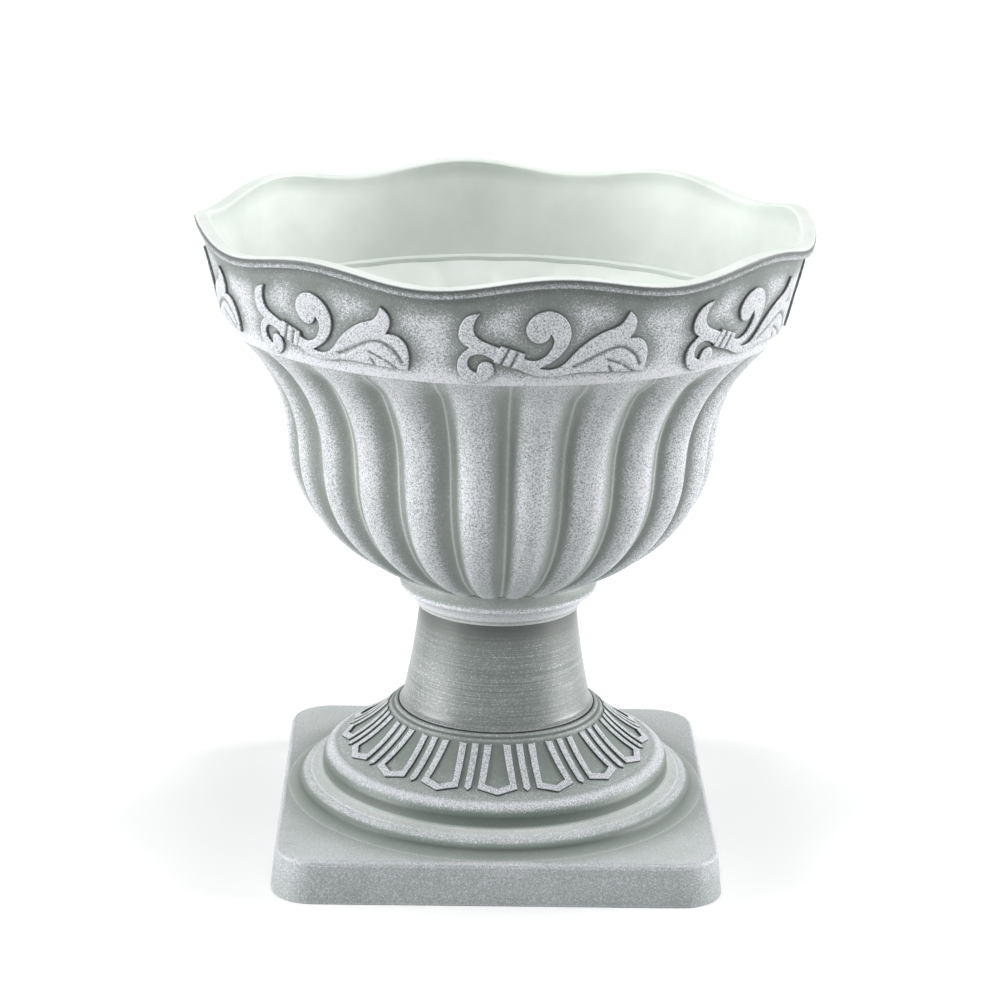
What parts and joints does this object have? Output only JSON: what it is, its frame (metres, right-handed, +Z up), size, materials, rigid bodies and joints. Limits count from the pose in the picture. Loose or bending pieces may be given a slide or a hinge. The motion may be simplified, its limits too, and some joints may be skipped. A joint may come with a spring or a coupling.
{
  "type": "urn planter",
  "caption": "Pedestal urn planter: a fluted bowl with a wavy rolled rim and a scroll frieze, on a turned stem and a square stepped base.",
  "frame": {"origin": "on the floor, on the urn's axis", "axes": "+Z up along the urn's axis, away from the floor; the plinth's sides are square to X and Y, and -Y is the front"},
  "size_m": [0.34, 0.34, 0.3584],
  "materials": {
    "painted_plastic": "antiqued grey-green paint with a fine white speckle on all raised parts, satin pale inside",
    "zinc_steel": "zinc plated",
    "black_rubber": "matt"
  },
  "bodies": {
    "urn": {"frieze": "painted_plastic", "bowl": "painted_plastic", "stem": "painted_plastic", "base": "painted_plastic", "base_rings": "painted_plastic", "plinth": "painted_plastic", "clamp_bolt": "zinc_steel", "seal_washer": "black_rubber", "flat_washer": "zinc_steel", "wing_nut": "zinc_steel", "stem_screws": "zinc_steel"},
    "plug_1": {"drain_plug_1": "black_rubber"},
    "plug_2": {"drain_plug_2": "black_rubber"},
    "plug_3": {"drain_plug_3": "black_rubber"}
  },
  "joints": [
    {"name": "plug_1_lift", "type": "slide", "parent": "urn", "child": "plug_1", "axis": [0, 0, 1], "range_m": [0, 0.04]},
    {"name": "plug_2_lift", "type": "slide", "parent": "urn", "child": "plug_2", "axis": [0, 0, 1], "range_m": [0, 0.04]},
    {"name": "plug_3_lift", "type": "slide", "parent": "urn", "child": "plug_3", "axis": [0, 0, 1], "range_m": [0, 0.04]}
  ]
}
